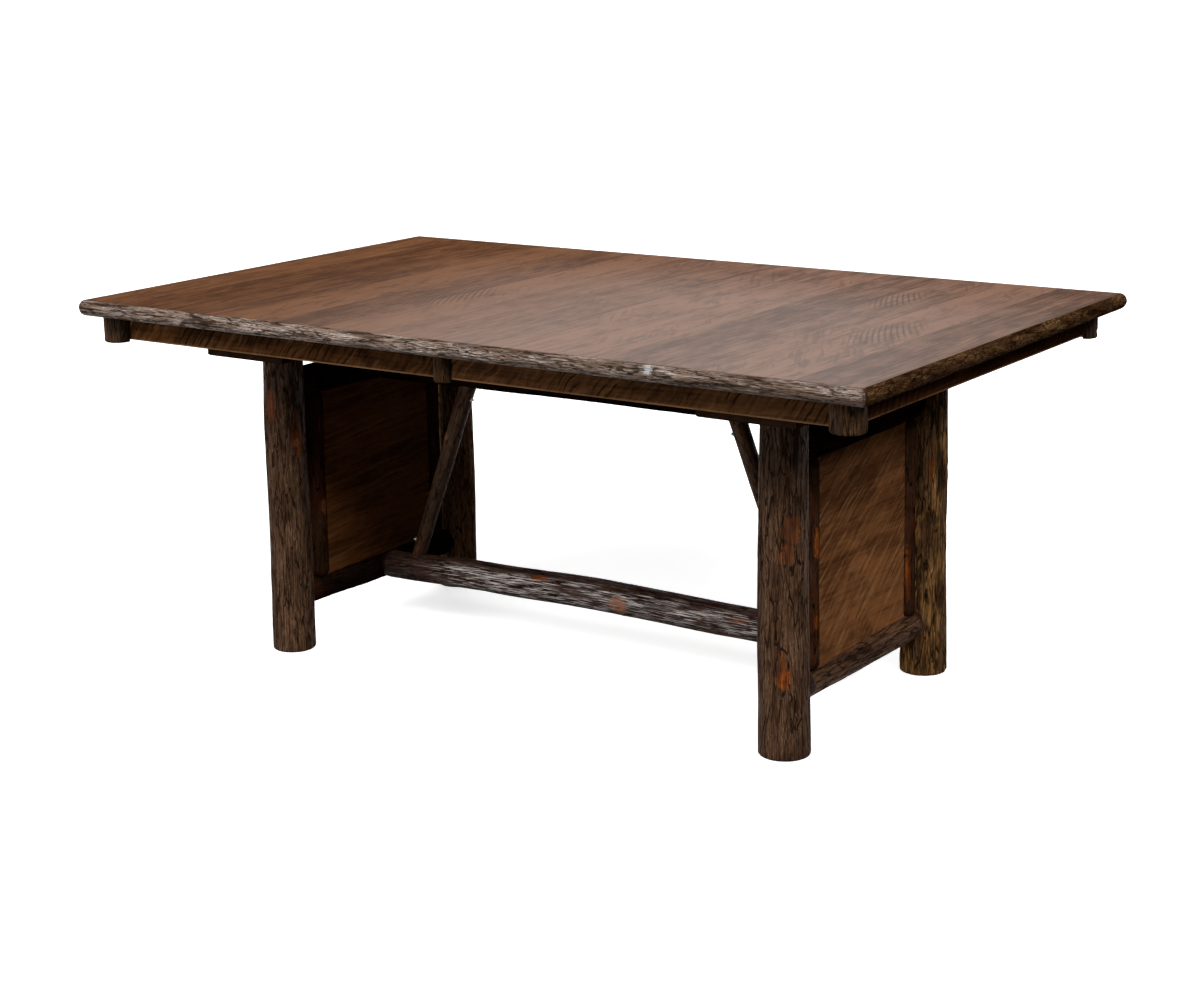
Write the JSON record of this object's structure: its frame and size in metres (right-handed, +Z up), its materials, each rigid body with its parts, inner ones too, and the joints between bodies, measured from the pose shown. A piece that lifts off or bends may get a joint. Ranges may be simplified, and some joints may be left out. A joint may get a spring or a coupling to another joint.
{
  "type": "extending trestle table",
  "caption": "Rustic hickory trestle table: bark-covered pole end frames with flat panels, stretchers and braces carry a board top that parts in the middle and slides out on geared runners.",
  "frame": {"origin": "on the floor, under the middle of the closed top", "axes": "+X along the table's length to the right, +Y to the back across its width, +Z up"},
  "size_m": [1.819, 1.108, 0.762],
  "materials": {
    "leg_bark": "satin lacquered bark with fissures",
    "pole_bark": "satin lacquered bark with fissures",
    "post_bark": "satin lacquered bark",
    "edging_bark": "satin lacquered bark, silvery highlights",
    "top_maple": "walnut-stained maple, satin lacquer",
    "apron_maple": "walnut-stained rough-sawn maple",
    "panel_maple": "walnut-stained curly maple, satin",
    "cleat_wood": "dark-stained plain board",
    "slide_wood": "waxed clear hardwood",
    "zinc_steel": "zinc-plated",
    "gear_brass": "milled, satin"
  },
  "bodies": {
    "trestle_base": {"base_screws": "zinc_steel", "brace_left": "pole_bark", "brace_right": "pole_bark", "end_panel_left": "panel_maple", "end_panel_right": "panel_maple", "leg_back_left": "leg_bark", "leg_back_right": "leg_bark", "leg_cleat_left": "cleat_wood", "leg_cleat_right": "cleat_wood", "leg_front_left": "leg_bark", "leg_front_right": "leg_bark", "leg_lag_screws": "zinc_steel", "lower_rail_left": "pole_bark", "lower_rail_right": "pole_bark", "lower_stretcher": "pole_bark", "pinion_pins": "zinc_steel", "runner_back": "slide_wood", "runner_front": "slide_wood", "stile_back_left": "pole_bark", "stile_back_right": "pole_bark", "stile_front_left": "pole_bark", "stile_front_right": "pole_bark", "upper_rail_left": "pole_bark", "upper_rail_right": "pole_bark", "upper_stretcher": "pole_bark"},
    "right_top": {"alignment_dowels": "slide_wood", "corner_post_back_right": "post_bark", "corner_post_front_right": "post_bark", "end_apron_right": "apron_maple", "end_edging_right": "edging_bark", "lock_plates": "zinc_steel", "racks_right": "gear_brass", "side_apron_back_right": "apron_maple", "side_apron_front_right": "apron_maple", "side_edging_back_right": "edging_bark", "side_edging_front_right": "edging_bark", "slide_back_right": "slide_wood", "slide_front_right": "slide_wood", "slide_screws_right": "zinc_steel", "top_boards_right": "top_maple"},
    "left_top": {"corner_post_back_left": "post_bark", "corner_post_front_left": "post_bark", "end_apron_left": "apron_maple", "end_edging_left": "edging_bark", "lock_keepers": "zinc_steel", "mid_post_back": "post_bark", "mid_post_front": "post_bark", "racks_left": "gear_brass", "side_apron_back_left": "apron_maple", "side_apron_front_left": "apron_maple", "side_edging_back_left": "edging_bark", "side_edging_front_left": "edging_bark", "slide_back_left": "slide_wood", "slide_front_left": "slide_wood", "slide_screws_left": "zinc_steel", "top_boards_left": "top_maple"},
    "front_pinion": {"pinion_front": "gear_brass"},
    "back_pinion": {"pinion_back": "gear_brass"},
    "front_lock": {"lock_lever_front": "zinc_steel"},
    "back_lock": {"lock_lever_back": "zinc_steel"}
  },
  "joints": [
    {"name": "right_top_slide", "type": "slide", "parent": "trestle_base", "child": "right_top", "axis": [1, 0, 0], "range_m": [0, 0.305]},
    {"name": "left_top_slide", "type": "slide", "parent": "trestle_base", "child": "left_top", "axis": [-1, 0, 0], "range_m": [0, 0.305]},
    {"name": "front_pinion_turn", "type": "hinge", "parent": "trestle_base", "child": "front_pinion", "pos_m": [0, -0.24, 0.7046], "axis": [0, 0, 1], "range_deg": [0, 730]},
    {"name": "back_pinion_turn", "type": "hinge", "parent": "trestle_base", "child": "back_pinion", "pos_m": [0, 0.24, 0.7046], "axis": [0, 0, 1], "range_deg": [0, 730]},
    {"name": "front_lock_turn", "type": "hinge", "parent": "right_top", "child": "front_lock", "pos_m": [0.03, -0.4, 0.725], "axis": [0, 0, 1], "range_deg": [0, 90]},
    {"name": "back_lock_turn", "type": "hinge", "parent": "right_top", "child": "back_lock", "pos_m": [0.03, 0.4, 0.725], "axis": [0, 0, -1], "range_deg": [0, 90]}
  ],
  "couplings": [
    {"joint": "left_top_slide", "follows": "right_top_slide", "ratio": 1},
    {"joint": "front_pinion_turn", "follows": "right_top_slide", "rad_per_m": 41.667},
    {"joint": "back_pinion_turn", "follows": "right_top_slide", "rad_per_m": 41.667}
  ]
}
